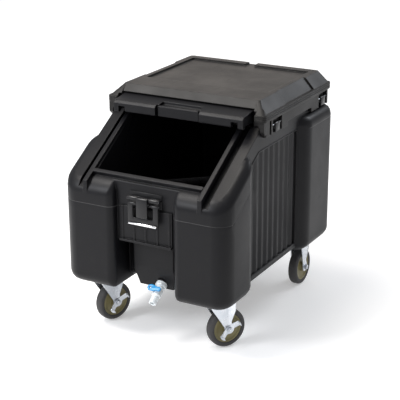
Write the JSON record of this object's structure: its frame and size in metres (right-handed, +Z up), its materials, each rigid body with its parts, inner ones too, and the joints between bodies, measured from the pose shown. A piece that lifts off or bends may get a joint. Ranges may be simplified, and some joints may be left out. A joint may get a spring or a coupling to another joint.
{
  "type": "mobile ice bin",
  "caption": "Insulated plastic ice bin on casters with a sloped front mouth, a sliding lid under a clipped-on cover, a front latch and a drain tap.",
  "frame": {"origin": "on the floor under the middle of the tub", "axes": "+X to the right of someone who faces the latch, -Y out of the front with the latch and tap, +Z up"},
  "size_m": [0.584, 0.8, 0.75],
  "materials": {
    "shell": "moulded black polyethylene with a fine grain and a soft sheen",
    "cover": "moulded black polyethylene, a little greyer and worn on the top",
    "nylon": "black moulded nylon with a satin sheen",
    "zinc": "bright zinc plate",
    "chrome": "polished chrome",
    "rubber": "dark grey rubber, slightly dusty",
    "hub": "olive moulded plastic",
    "tap": "white moulded plastic",
    "tap_lever": "bright blue moulded plastic",
    "gasket": "black rubber"
  },
  "bodies": {
    "bin": {"tub": "shell", "drain_shelf": "nylon", "rib_plate": "shell", "latch_bracket": "nylon", "latch_tongue_pin": "zinc", "latch_lever_pin": "zinc", "cover_frame": "cover", "cover_top": "cover", "tap_gasket": "gasket", "tap_body": "tap", "tap_nut": "tap", "clip_pin_front_left": "zinc", "clip_pin_front_right": "zinc", "clip_pin_rear_left": "zinc", "clip_pin_rear_right": "zinc", "caster_plate_front_left": "zinc", "caster_plate_front_right": "zinc", "king_nut_front_left": "zinc", "king_nut_front_right": "zinc", "caster_fork_rear_left": "zinc", "caster_fork_rear_right": "zinc", "axle_sleeve_rear_left": "zinc", "axle_sleeve_rear_right": "zinc", "axle_bolt_rear_left": "zinc", "axle_bolt_rear_right": "zinc", "axle_nut_rear_left": "zinc", "axle_nut_rear_right": "zinc"},
    "lid": {"sliding_lid": "shell", "lid_glide_left": "nylon", "lid_glide_right": "nylon"},
    "latch_lever": {"latch_lever": "nylon", "latch_pull_bar": "chrome"},
    "latch_tongue": {"latch_tongue": "nylon"},
    "clip_front_left": {"clip_front_left": "nylon"},
    "clip_front_right": {"clip_front_right": "nylon"},
    "clip_rear_left": {"clip_rear_left": "nylon"},
    "clip_rear_right": {"clip_rear_right": "nylon"},
    "tap_valve": {"tap_ball": "tap", "tap_lever": "tap_lever"},
    "swivel_left": {"caster_fork_front_left": "zinc", "axle_sleeve_front_left": "zinc", "axle_bolt_front_left": "zinc", "axle_nut_front_left": "zinc"},
    "brake_left": {"brake_lever_front_left": "zinc"},
    "swivel_right": {"caster_fork_front_right": "zinc", "axle_sleeve_front_right": "zinc", "axle_bolt_front_right": "zinc", "axle_nut_front_right": "zinc"},
    "brake_right": {"brake_lever_front_right": "zinc"},
    "wheel_front_left": {"wheel_tyre_front_left": "rubber", "wheel_hub_front_left": "hub"},
    "wheel_front_right": {"wheel_tyre_front_right": "rubber", "wheel_hub_front_right": "hub"},
    "wheel_rear_left": {"wheel_tyre_rear_left": "rubber", "wheel_hub_rear_left": "hub"},
    "wheel_rear_right": {"wheel_tyre_rear_right": "rubber", "wheel_hub_rear_right": "hub"}
  },
  "joints": [
    {"name": "lid_slide", "type": "slide", "parent": "bin", "child": "lid", "axis": [0, -1, 0], "range_m": [0, 0.28]},
    {"name": "latch_lever_hinge", "type": "hinge", "parent": "bin", "child": "latch_lever", "pos_m": [0, -0.385, 0.463], "axis": [-1, 0, 0], "range_deg": [0, 75]},
    {"name": "latch_tongue_hinge", "type": "hinge", "parent": "bin", "child": "latch_tongue", "pos_m": [0, -0.385, 0.48], "axis": [-1, 0, 0], "range_deg": [0, 100]},
    {"name": "clip_hinge_front_left", "type": "hinge", "parent": "bin", "child": "clip_front_left", "pos_m": [-0.27, -0.029, 0.667], "axis": [0, 1, 0], "range_deg": [0, 80]},
    {"name": "clip_hinge_front_right", "type": "hinge", "parent": "bin", "child": "clip_front_right", "pos_m": [0.27, -0.029, 0.667], "axis": [0, -1, 0], "range_deg": [0, 80]},
    {"name": "clip_hinge_rear_left", "type": "hinge", "parent": "bin", "child": "clip_rear_left", "pos_m": [-0.27, 0.323, 0.667], "axis": [0, 1, 0], "range_deg": [0, 80]},
    {"name": "clip_hinge_rear_right", "type": "hinge", "parent": "bin", "child": "clip_rear_right", "pos_m": [0.27, 0.323, 0.667], "axis": [0, -1, 0], "range_deg": [0, 80]},
    {"name": "tap_turn", "type": "hinge", "parent": "bin", "child": "tap_valve", "pos_m": [0.022, -0.34508, 0.16519], "axis": [0, -0.5878, 0.809], "range_deg": [0, 90]},
    {"name": "caster_swivel_left", "type": "hinge", "parent": "bin", "child": "swivel_left", "pos_m": [-0.205, -0.302, 0.14], "axis": [0, 0, 1], "continuous": true},
    {"name": "caster_swivel_right", "type": "hinge", "parent": "bin", "child": "swivel_right", "pos_m": [0.205, -0.302, 0.14], "axis": [0, 0, 1], "continuous": true},
    {"name": "wheel_spin_front_left", "type": "hinge", "parent": "swivel_left", "child": "wheel_front_left", "pos_m": [-0.19337, -0.27005, 0.0635], "axis": [0.9397, -0.342, 0], "continuous": true},
    {"name": "brake_press_left", "type": "hinge", "parent": "swivel_left", "child": "brake_left", "pos_m": [-0.19337, -0.27005, 0.0635], "axis": [0.9397, -0.342, 0], "range_deg": [0, 25]},
    {"name": "wheel_spin_front_right", "type": "hinge", "parent": "swivel_right", "child": "wheel_front_right", "pos_m": [0.22352, -0.27349, 0.0635], "axis": [0.8387, -0.5446, 0], "continuous": true},
    {"name": "brake_press_right", "type": "hinge", "parent": "swivel_right", "child": "brake_right", "pos_m": [0.22352, -0.27349, 0.0635], "axis": [0.8387, -0.5446, 0], "range_deg": [0, 25]},
    {"name": "wheel_spin_rear_left", "type": "hinge", "parent": "bin", "child": "wheel_rear_left", "pos_m": [-0.221, 0.286, 0.0635], "axis": [1, 0, 0], "continuous": true},
    {"name": "wheel_spin_rear_right", "type": "hinge", "parent": "bin", "child": "wheel_rear_right", "pos_m": [0.221, 0.286, 0.0635], "axis": [1, 0, 0], "continuous": true}
  ]
}
